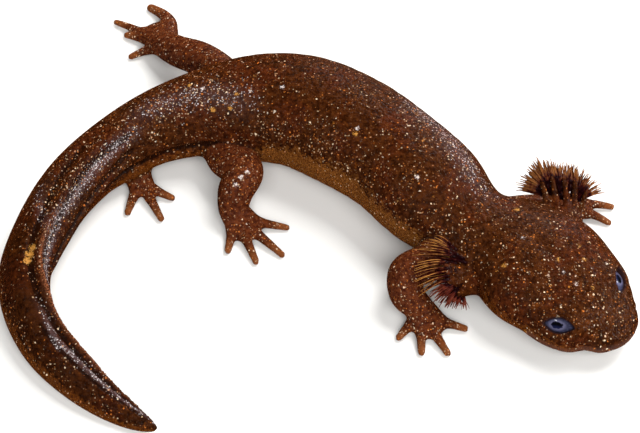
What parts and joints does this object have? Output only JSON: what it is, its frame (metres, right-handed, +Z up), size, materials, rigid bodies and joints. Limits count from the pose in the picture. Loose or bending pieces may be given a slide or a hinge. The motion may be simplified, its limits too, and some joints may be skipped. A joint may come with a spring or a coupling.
{
  "type": "gilled stream salamander",
  "caption": "Life-size still model of a gilled stream salamander lying on its belly, body bent and tail curled round to one side",
  "frame": {"origin": "on the floor under the middle of the whole animal's box", "axes": "+Z up, +X to the side that the head lies on and +Y away from the inside of the body's bend; the head points to +X -Y"},
  "size_m": [0.0952, 0.0878, 0.0147],
  "materials": {
    "skin": "wet, glossy dark brown skin with fine pale and gold flecks",
    "gill": "wet reddish brown gill filaments",
    "eye": "glossy dark slate blue eye"
  },
  "bodies": {
    "root": {"head": "skin", "lower_jaw": "skin", "eye_left": "eye", "eye_right": "eye", "gill_left_upper": "gill", "gill_left_middle": "gill", "gill_left_lower": "gill", "gill_right_upper": "gill", "gill_right_middle": "gill", "gill_right_lower": "gill", "neck": "skin", "torso_front": "skin", "torso_rear": "skin", "tail_root": "skin", "tail_middle": "skin", "tail_tip": "skin", "upper_arm_left": "skin", "forearm_left": "skin", "hand_left": "skin", "upper_arm_right": "skin", "forearm_right": "skin", "hand_right": "skin", "thigh_left": "skin", "shin_left": "skin", "foot_left": "skin", "thigh_right": "skin", "shin_right": "skin", "foot_right": "skin", "extra_foot": "skin"}
  },
  "joints": []
}
